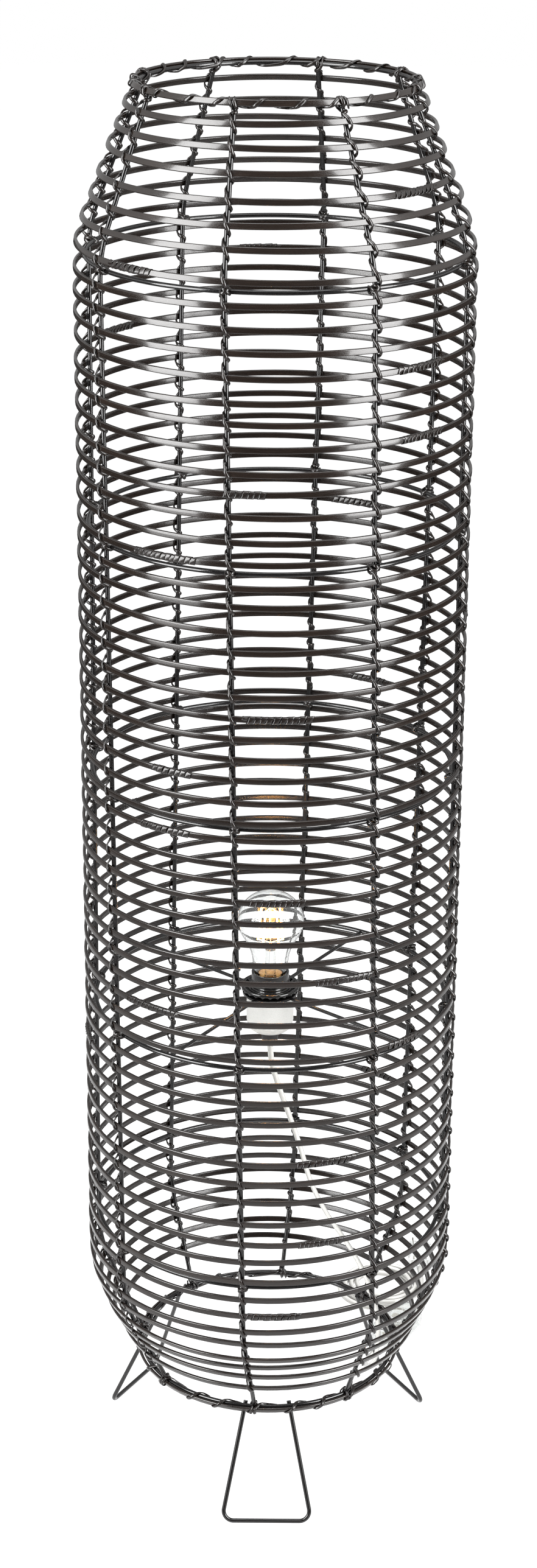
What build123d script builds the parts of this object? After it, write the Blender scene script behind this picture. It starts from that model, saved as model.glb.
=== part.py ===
from build123d import *
import math
import os

# Rattan floor lamp, all sizes in millimetres
# Origin at floor level on the basket's axis, +Z up, the front toward -Y

# Basket profile, as the centreline of a rib in one upright plane
top_ring_radius = 113.0
top_ring_height = 1275.0
cage_radius = 161.5
shoulder_drop = 124.0
shoulder_height = top_ring_height - shoulder_drop
shoulder_bend = 110.0
taper_height = 197.0
taper_bend = 100.0
base_ring_radius = 118.0
base_ring_height = 102.0

# Steel wire frame
ring_wire = 4.0
rib_wire = 4.0
rib_angles = (-11, 32, 78, 124, 168, 213, 258, 303)
rib_lean = 1.1
weld_gap = 0.1

# Flat rattan hoops, in bays parted by the steel rings: for each bay how many hoops,
# how far its first one lies along the rib and how far apart they are
bays = (
    (7, 15.6, 19.9),
    (12, 155.5, 19.0),
    (12, 383.5, 18.6),
    (12, 605.0, 18.5),
    (11, 828.0, 19.6),
    (8, 1042.0, 15.9),
)
hoop_height = 5.2
hoop_thickness = 2.6
hoop_seat = 0.75
hoop_unevenness = 0.9

# Strand that binds each hoop to each rib
strand_width = 2.2
strand_thickness = 1.0
strand_slope = 42.0
strand_gap = 0.6

# Strand that binds a hoop to the top ring and one to the base ring
rim_strand_slope = -38.0
rim_loops_per_bay = 3
rim_loop_clear = 4.5

# Strip wound on the hoops' splices
splice_wrap = 0.8
splice_length = 50.0
splice_gap = 0.12

# Splices by hoop, counted from the top, and angle from the front toward the right
splices = (
    (4, 50), (7, -44), (9, 185), (11, 45), (12, 238), (14, 46), (16, 2), (19, -32),
    (21, 153), (24, 95), (26, 2), (29, -30), (30, 148), (32, -33), (35, 6), (36, 235),
    (38, 19), (41, -38), (43, 45), (45, 280), (48, 18), (51, 142), (52, 16), (56, 5),
)

# Wire feet
foot_names = ("foot_front", "foot_right", "foot_left")
foot_wire = 4.0
foot_reach = 152.0
foot_inset = 7.1
foot_top_reach = base_ring_radius - foot_inset
foot_top_height = 104.0
foot_top_half = 19.5
foot_bottom_half = 41.0
foot_corner = 9.0

# Spider that carries the lampholder in the plane of the fourth ring
holder_bay = 4
arm_wire = 3.2
arm_angles = (-33, 49, 147, 229)
carrier_radius = 25.0
carrier_thickness = 2.0

# Lampholder, heights counted from the carrier's mid-plane
holder_radius = 20.85
holder_wall = 2.2
holder_depth = 38.2
holder_round = 8.0
skirt_radius = 17.6
skirt_bore = 14.8
skirt_top = 20.0
skirt_thread_depth = 0.7
skirt_thread_pitch = 2.6
skirt_thread_turns = 5
flange_thickness = 2.2
seat_gap = 0.1
shade_ring_radius = 26.5
shade_ring_rim = 2.4
shade_ring_drop = 3.6
shade_ring_height = 9.5
shade_ring_gap = 0.3
knurl_count = 24
knurl_radius = 1.1
sleeve_wall = 0.25
sleeve_margin = 3.0
insert_clearance = 0.2
insert_top = -15.0
shell_wall = 0.45
shell_bore = 13.75
shell_bottom = -14.8
shell_top = 14.0
contact_thickness = 0.5
contact_width = 6.0
contact_length = 16.0
grip_radius = 8.2
grip_length = 11.8
grip_bore = 3.1
grip_stub_radius = 5.0
grip_stub_length = 4.5
stub_clearance = 0.15

# Screw-base bulb, heights counted from the carrier's mid-plane
cap_radius = 13.2
cap_wall = 0.4
cap_thread_depth = 0.7
cap_thread_pitch = 3.63
cap_thread_turns = 5
cap_bottom = -5.0
cap_top = 18.0
bulb_contact_radius = 4.6
bulb_contact_depth = 1.2
insulator_depth = 3.0
glass_radius = 30.0
glass_neck = 12.4
glass_widest = 70.0
glass_top = 97.0
glass_wall = 0.7
glass_seat_gap = 0.2
neck_flare = 3.2
stem_foot = 9.0
stem_radius = 4.6
stem_top = 42.0
post_radius = 0.5
filament_radius = 0.9
filament_ring = 12.0
filament_lean = 3.5
filament_bottom = 49.0
filament_top = 82.0
filament_count = 5
lead_radius = 0.35

# Cord, its floor switch and its plug
cord = 5.6
cord_gap = 0.5
cord_inside_grip = 10.0
switch_length = 62.0
switch_width = 31.0
switch_base_height = 9.0
switch_cover_height = 10.0
switch_wall = 2.0
switch_corner = 9.0
switch_split = 0.1
switch_edge = 2.5
switch_foot_edge = 1.0
cord_hole_gap = 0.25
switch_centre = (131.0, 175.0)
switch_turn = 30.0
switch_lead = 12.0
button_radius = 10.5
button_clearance = 0.25
button_rise = 4.0
button_travel = 3.0
button_edge = 1.2
button_flange = 1.6
button_flange_thickness = 1.5
module_length = 26.0
module_corner = 1.5
module_width = 20.0
module_height = 7.0
module_gap = 0.1
plunger_radius = 2.5
coil_centre = (117.0, 257.0)
coil_outer_turn = 42.7
coil_half_turns = 6
coil_tail = 20.0
plug_width = 25.0
plug_length = 31.0
plug_corner = 5.0
relief_length = 20.0
relief_end_radius = 3.6
relief_root_radius = 5.2
blade_width = 6.3
blade_thickness = 1.5
blade_length = 16.5
blade_depth = 12.0
blade_spacing = 12.7
blade_clearance = 0.05

# The cord's route from the grip to the switch, after its first point in the grip
cord_route = (
    (0.0, 0.0, 400.0),
    (6.0, 1.0, 375.0),
    (17.0, 4.0, 341.0),
    (29.0, 5.0, 304.0),
    (38.0, 4.0, 268.0),
    (53.0, 6.0, 234.0),
    (76.0, 9.0, 197.0),
    (94.0, 11.5, 160.0),
    (104.0, 14.0, 123.0),
    (106.0, 19.0, 90.0),
    (105.0, 37.0, 58.0),
    (101.0, 62.0, 32.0),
    (97.0, 91.0, 12.5),
    (98.0, 118.0, 2.8),
)


# Rib centreline, from the top ring to the base ring
def rib_points(inset):
    top = Vector(top_ring_radius, 0, top_ring_height)
    shoulder = Vector(cage_radius, 0, shoulder_height)
    taper = Vector(cage_radius, 0, taper_height)
    base = Vector(base_ring_radius, 0, base_ring_height)
    start = top + (shoulder - top).normalized() * inset
    end = base + (taper - base).normalized() * inset
    return start, shoulder, taper, end


rib_line = FilletPolyline(*rib_points(0), radius=(shoulder_bend, taper_bend))


# Place, outward normal and downward direction at a distance along a rib
def on_rib(distance):
    spot = rib_line.position_at(distance, PositionMode.LENGTH)
    down = rib_line.tangent_at(distance, PositionMode.LENGTH)
    out = Vector(-down.Z, 0, down.X)
    return spot, out, down


# Distance along the rib of every hoop, from the top down, each a little out of true
hoop_distances = []
for count, first, pitch in bays:
    for step in range(count):
        index = len(hoop_distances)
        uneven = math.sin(2.4 * index) + 0.5 * math.sin(5.3 * index + 1)
        hoop_distances.append(first + pitch * step + hoop_unevenness * uneven)


# A steel ring stands halfway between the last hoop of one bay and the first of the next
def ring_distance(bay):
    first = sum(count for count, start, pitch in bays[:bay])
    return (hoop_distances[first - 1] + hoop_distances[first]) / 2


def round_about_axis(section):
    return revolve(section, Axis.Z)


def upright(distance_out, height, out=Vector(1, 0, 0)):
    return Plane(origin=(distance_out, 0, height), x_dir=out, z_dir=(0, -1, 0))


def wire_ring(radius, height, wire):
    return round_about_axis(upright(radius, height) * Circle(wire / 2))


# Turns a piece made in the plane of +X to an angle from the front toward the right
def to_angle(angle):
    return Rot(0, 0, angle - 90)


middle_height = (top_ring_height + base_ring_height) / 2


def to_rib(angle):
    lean = Pos(0, 0, middle_height) * Rot(rib_lean, 0, 0) * Pos(0, 0, -middle_height)
    return to_angle(angle) * lean


parts = {}

# Ribs
rib_ends = rib_points(ring_wire / 2 + weld_gap)
rib_path = FilletPolyline(*rib_ends, radius=(shoulder_bend, taper_bend))
rib_section = Plane(origin=rib_path @ 0, z_dir=rib_path % 0) * Circle(rib_wire / 2)
rib = sweep(rib_section, path=rib_path)
for index, angle in enumerate(rib_angles, 1):
    parts[f"rib_{index}"] = to_rib(angle) * rib

# Steel rings, against the inside of the ribs
ring_heights = []
for bay in range(1, len(bays)):
    spot, out, down = on_rib(ring_distance(bay))
    centre = spot - out * (rib_wire / 2 + weld_gap + ring_wire / 2)
    ring_heights.append(centre.Z)
    parts[f"frame_ring_{bay}"] = wire_ring(centre.X, centre.Z, ring_wire)
parts["top_ring"] = wire_ring(top_ring_radius, top_ring_height, ring_wire)
parts["base_ring"] = wire_ring(base_ring_radius, base_ring_height, ring_wire)

# Hoops, flat against the outside of the ribs
hoop_offset = rib_wire / 2 + hoop_seat + hoop_thickness / 2


def hoop_section(distance, grow=0.0):
    spot, out, down = on_rib(distance)
    middle = spot + out * hoop_offset
    plane = upright(middle.X, middle.Z, out)
    return plane * Rectangle(hoop_thickness + 2 * grow, hoop_height + 2 * grow)


hoop_nodes = ("hoops_shoulder", "hoops_bay_1", "hoops_bay_2", "hoops_bay_3", "hoops_bay_4", "hoops_taper")
hoop_places = []
first = 0
for count, start, pitch in bays:
    hoop_places.append(hoop_distances[first : first + count])
    first += count
hoop_places[0] = [0.0, *hoop_places[0]]
hoop_places[-1] = [*hoop_places[-1], rib_line.length]


# How far round the axis a leaning rib has drifted from its angle, in degrees
def rib_drift(distance):
    spot = on_rib(distance)[0]
    return math.degrees(math.asin((middle_height - spot.Z) * math.sin(math.radians(rib_lean)) / spot.X))


# A hoop is laid in lengths that butt under the bindings, one length from each rib to the next
def hoop_lengths(distance):
    section = hoop_section(distance)
    drift = rib_drift(distance)
    lengths = []
    for angle, after in zip(rib_angles, [*rib_angles[1:], rib_angles[0] + 360]):
        lengths.append(to_angle(angle + drift) * revolve(section, Axis.Z, after - angle))
    return lengths


for node, distances in zip(hoop_nodes, hoop_places):
    parts[node] = Compound(children=[length for distance in distances for length in hoop_lengths(distance)])

# Binding loops, slanting across each hoop and round the rib or ring behind it
strand_in = -(rib_wire / 2 + strand_gap)
strand_out = rib_wire / 2 + hoop_seat + hoop_thickness + strand_gap


def binding_loop(slope):
    slant = math.radians(slope)
    reach = hoop_height / 2 / math.cos(slant) + strand_width / 2 * abs(math.tan(slant)) + strand_gap
    plane = Plane(
        origin=((strand_in + strand_out) / 2, 0, 0),
        x_dir=(1, 0, 0),
        z_dir=(0, math.cos(slant), math.sin(slant)),
    )
    inside = Rectangle(strand_out - strand_in, 2 * reach)
    outside = Rectangle(strand_out - strand_in + 2 * strand_thickness, 2 * (reach + strand_thickness))
    return plane * extrude(outside - inside, strand_width / 2, both=True)


def loop_place(distance):
    spot, out, down = on_rib(distance)
    return Plane(origin=spot, x_dir=out, z_dir=down * -1).location


loop = binding_loop(strand_slope)
for index, angle in enumerate(rib_angles, 1):
    loops = [to_rib(angle) * loop_place(distance) * loop for distance in hoop_distances]
    parts[f"rib_lashing_{index}"] = Compound(children=loops)

# Loops round the rims, between the ribs and clear of the feet's legs
foot_angles = (0, 120, 240)
leg_spread = math.degrees(math.asin(foot_top_half / base_ring_radius))
leg_angles = [(angle + side * leg_spread) % 360 for angle in foot_angles for side in (-1, 1)]


def rim_lashing(distance, avoid):
    drift = rib_drift(distance)
    rim_loop = loop_place(distance) * binding_loop(rim_strand_slope)
    loops = []
    for angle, after in zip(rib_angles, [*rib_angles[1:], rib_angles[0] + 360]):
        for step in range(rim_loops_per_bay):
            turn = angle + drift + (after - angle) * (step + 0.5) / rim_loops_per_bay
            if all(abs((turn - other + 180) % 360 - 180) > rim_loop_clear for other in avoid):
                loops.append(to_angle(turn) * rim_loop)
    return Compound(children=loops)


parts["top_rim_lashing"] = rim_lashing(0.0, [])
parts["base_rim_lashing"] = rim_lashing(rib_line.length, leg_angles)

# Splice wraps, sleeves round the hoops
sleeves = []
for hoop, angle in splices:
    distance = hoop_distances[hoop - 1]
    spot, out, down = on_rib(distance)
    turn = math.degrees(splice_length / (spot.X + hoop_offset))
    outer = hoop_section(distance, splice_gap + splice_wrap)
    inner = hoop_section(distance, splice_gap)
    sleeve = revolve(outer, Axis.Z, turn) - revolve(inner, Axis.Z, turn)
    sleeves.append(to_angle(angle) * Rot(0, 0, -turn / 2) * sleeve)
parts["splice_wraps"] = Compound(children=sleeves)



# Feet, each one bent wire on the inside of the base ring
def foot_end(side):
    return Vector(foot_top_reach, side * foot_top_half, foot_top_height)


def foot_bend(side):
    return Vector(foot_reach, side * foot_bottom_half, foot_wire / 2)


foot_path = FilletPolyline(foot_end(-1), foot_bend(-1), foot_bend(1), foot_end(1), radius=foot_corner)
foot_section = Plane(origin=foot_path @ 0, z_dir=foot_path % 0) * Circle(foot_wire / 2)
foot = sweep(foot_section, path=foot_path)
for name, angle in zip(foot_names, foot_angles):
    parts[name] = to_angle(angle) * foot


def rod_between(start, end, radius):
    along = end - start
    plane = Plane(origin=start, z_dir=along)
    return plane * extrude(Circle(radius), along.length)


# Spider arms and the carrier ring that the lampholder is clamped to
seat = ring_heights[holder_bay - 1]
arm_ring_spot, arm_ring_out, arm_ring_down = on_rib(ring_distance(holder_bay))
arm_end = arm_ring_spot.X - rib_wire / 2 - weld_gap - ring_wire - weld_gap
arm_start = carrier_radius + weld_gap
arm = Pos(arm_start, 0, seat) * (Rot(0, 90, 0) * extrude(Circle(arm_wire / 2), arm_end - arm_start))
parts["spider_arms"] = Compound(children=[to_angle(angle) * arm for angle in arm_angles])


# A round piece from its outline of radius and height pairs above the carrier
def turned(*outline):
    points = [(r, 0, seat + z) for r, z in outline]
    return round_about_axis(make_face(Polyline(*points, close=True)))


def tube(outer, inner, bottom, top):
    return turned((inner, bottom), (outer, bottom), (outer, top), (inner, top))


# Outline of a threaded wall, as crests and roots going up
def thread_outline(crest, depth, bottom, pitch, turns):
    points = []
    for turn in range(turns):
        foot_of_turn = bottom + turn * pitch
        points.append((crest - depth, foot_of_turn))
        points.append((crest, foot_of_turn + pitch * 0.3))
        points.append((crest, foot_of_turn + pitch * 0.6))
        points.append((crest - depth, foot_of_turn + pitch * 0.9))
    return points


skirt_hole = skirt_radius + seat_gap
parts["carrier_ring"] = tube(carrier_radius, skirt_hole, -carrier_thickness / 2, carrier_thickness / 2)

flange_top = -carrier_thickness / 2 - seat_gap
flange_bottom = flange_top - flange_thickness
skirt_inside = holder_radius - holder_wall - stub_clearance
thread_start = carrier_thickness / 2 + shade_ring_gap
parts["holder_skirt"] = turned(
    (skirt_bore, insert_top),
    (skirt_inside, insert_top),
    (skirt_inside, flange_bottom),
    (holder_radius, flange_bottom),
    (holder_radius, flange_top),
    (skirt_radius - skirt_thread_depth, flange_top),
    *thread_outline(skirt_radius, skirt_thread_depth, thread_start, skirt_thread_pitch, skirt_thread_turns),
    (skirt_radius - skirt_thread_depth, skirt_top),
    (skirt_bore, skirt_top),
)

# Lampholder cup, its paper sleeve and the grip under it
cup_top = flange_bottom - seat_gap
cup_bottom = -holder_depth
cup = tube(holder_radius, grip_stub_radius + stub_clearance, cup_bottom, cup_top)
cup_hollow = tube(holder_radius - holder_wall, 0, cup_bottom + holder_wall, cup_top)
cup_corner = cup.edges().filter_by(GeomType.CIRCLE).filter_by(
    lambda edge: abs(edge.radius - holder_radius) < seat_gap and edge.center().Z < seat + cup_bottom + seat_gap
)
hollow_corner = cup_hollow.edges().filter_by(GeomType.CIRCLE).filter_by(
    lambda edge: edge.center().Z < seat + cup_bottom + holder_wall + seat_gap
)
parts["holder_cup"] = fillet(cup_corner, holder_round) - fillet(hollow_corner, holder_round - holder_wall)
parts["holder_sleeve"] = tube(
    holder_radius + seat_gap + sleeve_wall,
    holder_radius + seat_gap,
    cup_bottom + holder_round + sleeve_margin / 2,
    cup_top - sleeve_margin / 2,
)
grip_top = cup_bottom - seat_gap
grip_bottom = grip_top - grip_length
grip_relief = grip_radius - 1.2
parts["cord_grip"] = turned(
    (grip_bore, grip_bottom),
    (grip_relief, grip_bottom),
    (grip_radius, grip_bottom + 1.5),
    (grip_radius, grip_top),
    (grip_stub_radius, grip_top),
    (grip_stub_radius, grip_top + seat_gap + grip_stub_length),
    (grip_bore, grip_top + seat_gap + grip_stub_length),
)

# Shade ring, a saucer with a knurled underside that screws down on the skirt
ring_bore = skirt_radius + shade_ring_gap
ring_foot = carrier_thickness / 2 + shade_ring_gap
saucer = turned(
    (ring_bore, ring_foot),
    (ring_bore + shade_ring_rim, ring_foot),
    (shade_ring_radius - shade_ring_rim, ring_foot + shade_ring_drop),
    (shade_ring_radius, ring_foot + shade_ring_drop + shade_ring_rim / 2),
    (shade_ring_radius, ring_foot + shade_ring_drop + shade_ring_rim),
    (shade_ring_radius - shade_ring_rim, ring_foot + shade_ring_drop + shade_ring_rim),
    (ring_bore + shade_ring_rim, ring_foot + shade_ring_rim),
    (ring_bore + shade_ring_rim, ring_foot + shade_ring_height),
    (ring_bore, ring_foot + shade_ring_height),
)
knurl_out = (ring_bore + shade_ring_rim + shade_ring_radius) / 2
knurl_foot = ring_foot + shade_ring_drop * 0.35
knurls = [
    Rot(0, 0, step * 360 / knurl_count)
    * Pos(knurl_out, 0, seat + knurl_foot)
    * extrude(Circle(knurl_radius), shade_ring_drop * 0.8)
    for step in range(knurl_count)
]
parts["shade_ring"] = saucer + knurls

# Insulating insert, screw shell and centre contact inside the holder
parts["holder_insert"] = tube(
    skirt_inside - insert_clearance,
    grip_stub_radius + stub_clearance,
    cup_bottom + holder_wall + grip_stub_length,
    insert_top - seat_gap,
)
parts["screw_shell"] = tube(shell_bore + shell_wall, shell_bore, shell_bottom, shell_top)
contact_top = cap_bottom - insulator_depth - bulb_contact_depth - seat_gap
contact_foot = insert_top
contact_strip = Pos(0, 0, seat + contact_foot) * extrude(
    Rectangle(contact_length, contact_width), contact_thickness
)
contact_post = Pos(0, 0, seat + contact_foot) * extrude(
    Circle(contact_width / 3), contact_top - contact_foot
)
parts["centre_contact"] = contact_strip + contact_post

# Bulb cap, with its insulator and end contact
cap_inside = cap_radius - cap_thread_depth - cap_wall
parts["bulb_cap"] = turned(
    (cap_inside, cap_bottom),
    *thread_outline(cap_radius, cap_thread_depth, cap_bottom, cap_thread_pitch, cap_thread_turns),
    (cap_radius - cap_thread_depth, cap_top),
    (cap_inside, cap_top),
)
parts["bulb_insulator"] = turned(
    (0, cap_bottom - insulator_depth),
    (bulb_contact_radius + 1, cap_bottom - insulator_depth),
    (cap_inside, cap_bottom),
    (0, cap_bottom),
)
parts["bulb_contact"] = turned(
    (0, cap_bottom - insulator_depth - bulb_contact_depth),
    (bulb_contact_radius - 1, cap_bottom - insulator_depth - bulb_contact_depth),
    (bulb_contact_radius, cap_bottom - insulator_depth),
    (0, cap_bottom - insulator_depth),
)


# Bulb glass, a neck that swells to the globe under a flattened dome
def glass_solid(inset):
    foot_radius = cap_inside - glass_seat_gap - inset
    neck = glass_neck - inset
    foot = cap_bottom + 4 + inset
    widest = glass_radius - inset
    rise = glass_widest - cap_top
    lower = Spline(
        (neck, 0, seat + cap_top + 1),
        (neck + neck_flare, 0, seat + cap_top + rise * 0.3),
        (widest * 0.72, 0, seat + cap_top + rise * 0.62),
        (widest * 0.94, 0, seat + cap_top + rise * 0.82),
        (widest, 0, seat + glass_widest),
        tangents=((0.02, 0, 1), (0, 0, 1)),
    )
    dome = Spline(
        (widest, 0, seat + glass_widest),
        (widest * 0.84, 0, seat + glass_widest + (glass_top - inset - glass_widest) * 0.56),
        (0, 0, seat + glass_top - inset),
        tangents=((0, 0, 1), (-1, 0, 0)),
    )
    edge = Polyline(
        (0, 0, seat + glass_top - inset),
        (0, 0, seat + foot),
        (foot_radius, 0, seat + foot),
        (foot_radius, 0, seat + cap_top - 0.5),
        (neck, 0, seat + cap_top + 1),
    )
    return round_about_axis(make_face(lower + dome + edge))


parts["bulb_glass"] = glass_solid(0) - glass_solid(glass_wall)

# Glass stem with its post, and the filaments that hang between two rings of leads
stem_bottom = cap_bottom + 4 + glass_wall + glass_seat_gap
stem_post_top = filament_top + 2
parts["bulb_stem"] = turned(
    (0, stem_bottom),
    (stem_foot, stem_bottom),
    (stem_foot * 0.8, stem_bottom + 8),
    (stem_radius, stem_bottom + 20),
    (stem_radius, stem_top),
    (post_radius, stem_top),
    (post_radius, stem_post_top),
    (0, stem_post_top),
)
leads = []
for step in range(filament_count):
    low = Vector(filament_ring, 0, seat + filament_bottom)
    high = Vector(filament_ring - filament_lean, 0, seat + filament_top)
    stick = rod_between(low, high, filament_radius)
    foot_lead = rod_between(Vector(post_radius + 0.2, 0, low.Z - 1), low + Vector(0, 0, 1), lead_radius)
    head_lead = rod_between(Vector(post_radius + 0.2, 0, high.Z + 1), high - Vector(0, 0, 1), lead_radius)
    leads.append(Rot(0, 0, step * 360 / filament_count + 20) * (stick + foot_lead + head_lead))
parts["bulb_filaments"] = Compound(children=leads)

# Floor switch, lying on the floor with its cord holes at its ends
switch_place = Pos(*switch_centre, 0) * Rot(0, 0, -switch_turn)
cord_rest = cord / 2
hole_height = cord_rest + switch_wall / 2
switch_top = switch_base_height + switch_cover_height


def switch_block(inset, bottom, top):
    outline = RectangleRounded(switch_width - 2 * inset, switch_length - 2 * inset, switch_corner - inset)
    return Pos(0, 0, bottom) * extrude(outline, top - bottom)


def switch_disc(radius, bottom, top):
    return Pos(0, 0, bottom) * extrude(Circle(radius), top - bottom)


cord_hole_radius = cord / 2 + cord_hole_gap
cord_hole = Pos(0, 0, hole_height) * (
    Rot(90, 0, 0) * extrude(Circle(cord_hole_radius), switch_length, both=True)
)
base_box = switch_block(0, 0, switch_base_height)
base_box = fillet(base_box.faces().sort_by(Axis.Z)[0].edges(), switch_foot_edge)
base_hollow = switch_block(switch_wall, switch_wall, switch_top)
parts["switch_base"] = switch_place * (base_box - base_hollow - cord_hole)
cover_box = switch_block(0, switch_base_height + switch_split, switch_top)
cover_box = fillet(cover_box.faces().sort_by(Axis.Z)[-1].edges(), switch_edge)
cover_hollow = switch_block(switch_wall, switch_base_height, switch_top - switch_wall)
button_hole = switch_disc(button_radius + button_clearance, switch_base_height, switch_top + 1)
parts["switch_cover"] = switch_place * (cover_box - cover_hollow - button_hole - cord_hole)
button_foot = switch_top - switch_wall - button_flange_thickness - button_clearance
button_body = switch_disc(button_radius, button_foot, switch_top + button_rise)
button_body = fillet(button_body.faces().sort_by(Axis.Z)[-1].edges(), button_edge)
button_skirt = switch_disc(button_radius + button_flange, button_foot, button_foot + button_flange_thickness)
parts["switch_button"] = switch_place * (button_body + button_skirt)
module_top = switch_wall + module_height
module_outline = RectangleRounded(module_width, module_length, module_corner)
module = Pos(0, 0, switch_wall) * extrude(module_outline, module_height)
plunger = switch_disc(plunger_radius, module_top, button_foot - button_travel - module_gap)
parts["switch_module"] = switch_place * (module + plunger)


# Cord tube: straight runs joined by arcs as large as the two runs beside each corner allow
def cord_tube(points, radius):
    radii = []
    for before, corner, after in zip(points, points[1:], points[2:]):
        turn = (corner - before).get_angle(after - corner)
        shorter = min((corner - before).length, (after - corner).length)
        radii.append(0.45 * shorter / math.tan(math.radians(turn / 2)))
    path = FilletPolyline(*points, radius=radii)
    section = Plane(origin=path @ 0, z_dir=path % 0) * Circle(radius)
    solid = sweep(section, path=path)
    section_area = math.pi * radius**2
    print("cord radii", [round(value, 1) for value in radii])
    print("cord volume ratio", round(solid.volume / (section_area * path.length), 4), "length", round(path.length))
    return solid, path.length


# A point on the switch's axis, counted from its middle toward its far end
def switch_axis(distance):
    turn = math.radians(switch_turn)
    return Vector(
        switch_centre[0] + distance * math.sin(turn),
        switch_centre[1] + distance * math.cos(turn),
        hole_height,
    )


grip_exit = seat + grip_bottom
switch_end = switch_length / 2
run_points = [Vector(0, 0, grip_exit + cord_inside_grip)]
run_points += [Vector(point) for point in cord_route]
run_points += [switch_axis(-switch_end - switch_lead), switch_axis(-switch_end + switch_wall)]
parts["cord_run"], run_length = cord_tube(run_points, cord / 2)

# Coil: half turns that step in by half a turn's spacing, climb one layer, and step out again
step_in = (cord + cord_gap) / 2
coil_x, coil_y = coil_centre
turn_radii = [coil_outer_turn - step_in * step for step in range(coil_half_turns)]
climb_radius = coil_outer_turn - step_in * coil_half_turns
coil_start = Vector(coil_x + coil_outer_turn, coil_y, cord_rest)


def half_turn(start, side, radius, rise):
    tilt = math.asin(rise / (2 * radius))
    across = Vector(side * math.cos(tilt), 0, math.sin(tilt)) * radius
    middle = start + across + Vector(0, -side * radius, 0)
    end = start + across * 2
    return ThreePointArc(start, middle, end), end


coil_edges = []
spot = coil_start
side = -1
for radius in turn_radii:
    edge, spot = half_turn(spot, side, radius, 0)
    coil_edges.append(edge)
    side = -side
edge, spot = half_turn(spot, side, climb_radius, cord + cord_gap)
coil_edges.append(edge)
side = -side
for radius in reversed(turn_radii[1:]):
    edge, spot = half_turn(spot, side, radius, 0)
    coil_edges.append(edge)
    side = -side
coil_end = spot
lead_in = coil_start - Vector(0, cord, 0)
lead_out = coil_end + Vector(0, coil_tail, 0)
coil_edges.insert(0, Line(lead_in, coil_start))
coil_edges.append(Line(coil_end, lead_out))
coil_path = Wire([edge.edge() for edge in coil_edges])
coil_section = Plane(origin=lead_in, z_dir=(0, 1, 0)) * Circle(cord / 2)
parts["cord_coil"] = sweep(coil_section, path=coil_path)
coil_samples = [coil_path.position_at(step / 1500) for step in range(1501)]
sample_step = coil_path.length / 1500
far_apart = int(4 * cord / sample_step)
nearest = min(
    (coil_samples[i] - coil_samples[j]).length
    for i in range(0, len(coil_samples), 3)
    for j in range(i + far_apart, len(coil_samples), 3)
)
print("coil length", round(coil_path.length), "least gap to itself", round(nearest - cord, 2))
print("coil volume ratio", round(parts["cord_coil"].volume / (math.pi * cord**2 / 4 * coil_path.length), 4))

# Short link from the switch to the coil
link_bend = (lead_in.X - switch_axis(switch_end).X) / math.sin(math.radians(switch_turn))
link_corner = switch_axis(switch_end + link_bend)
link_points = [
    switch_axis(switch_end - switch_wall),
    switch_axis(switch_end + cord),
    Vector(link_corner.X, link_corner.Y, cord_rest),
    lead_in,
]
parts["cord_link"], link_length = cord_tube(link_points, cord / 2)
print("cord length in all", round(run_length + link_length + coil_path.length))

# Plug, lying flat beyond the coil on the cord's upper layer
plug_z = lead_out.Z
plug_back = lead_out.Y + relief_length


def plug_at(distance):
    return Plane(origin=(lead_out.X, distance, plug_z), x_dir=(1, 0, 0), z_dir=(0, 1, 0))


relief_bottom = plug_at(lead_out.Y) * Circle(relief_end_radius)
relief_top = plug_at(plug_back) * Circle(relief_root_radius)
relief = loft([relief_bottom, relief_top])
body = plug_at(plug_back) * extrude(
    RectangleRounded(plug_width, 2 * plug_z, plug_corner), plug_length
)
blade_slot_width = blade_width + 2 * blade_clearance
blade_slot_thickness = blade_thickness + 2 * blade_clearance
blade_start = plug_back + plug_length - blade_depth
blades = []
slots = []
for side in (-1, 1):
    shift = Pos(side * blade_spacing / 2, 0, 0)
    blades.append(plug_at(blade_start) * shift * extrude(
        Rectangle(blade_thickness, blade_width), blade_depth + blade_length
    ))
    slots.append(plug_at(blade_start - blade_clearance) * shift * extrude(
        Rectangle(blade_slot_thickness, blade_slot_width), blade_depth + 1
    ))
parts["plug_body"] = relief + body - slots
parts["plug_blades"] = Compound(children=blades)

os.makedirs("parts", exist_ok=True)
for name, shape in parts.items():
    export_step(shape, os.path.join("parts", name + ".step"))
print(len(parts), "nodes")
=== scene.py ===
import math

import bmesh
import bpy
from mathutils import Matrix, Vector


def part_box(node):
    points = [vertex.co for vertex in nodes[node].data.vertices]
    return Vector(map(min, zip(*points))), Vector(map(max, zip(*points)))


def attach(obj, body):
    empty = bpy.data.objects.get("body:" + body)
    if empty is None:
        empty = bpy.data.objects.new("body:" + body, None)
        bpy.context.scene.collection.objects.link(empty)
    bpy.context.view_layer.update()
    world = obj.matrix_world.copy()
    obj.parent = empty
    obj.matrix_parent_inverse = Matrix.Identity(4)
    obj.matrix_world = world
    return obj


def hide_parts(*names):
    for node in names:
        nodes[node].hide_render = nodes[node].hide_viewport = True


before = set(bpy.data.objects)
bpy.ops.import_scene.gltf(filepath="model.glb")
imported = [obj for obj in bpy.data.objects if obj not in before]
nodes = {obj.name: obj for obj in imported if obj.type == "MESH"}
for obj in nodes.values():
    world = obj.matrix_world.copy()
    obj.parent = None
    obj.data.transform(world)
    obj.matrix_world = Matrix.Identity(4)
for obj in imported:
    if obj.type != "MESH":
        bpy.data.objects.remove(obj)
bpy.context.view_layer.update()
collection = bpy.context.scene.collection
mm = 0.001


# ---- small helpers

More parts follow.
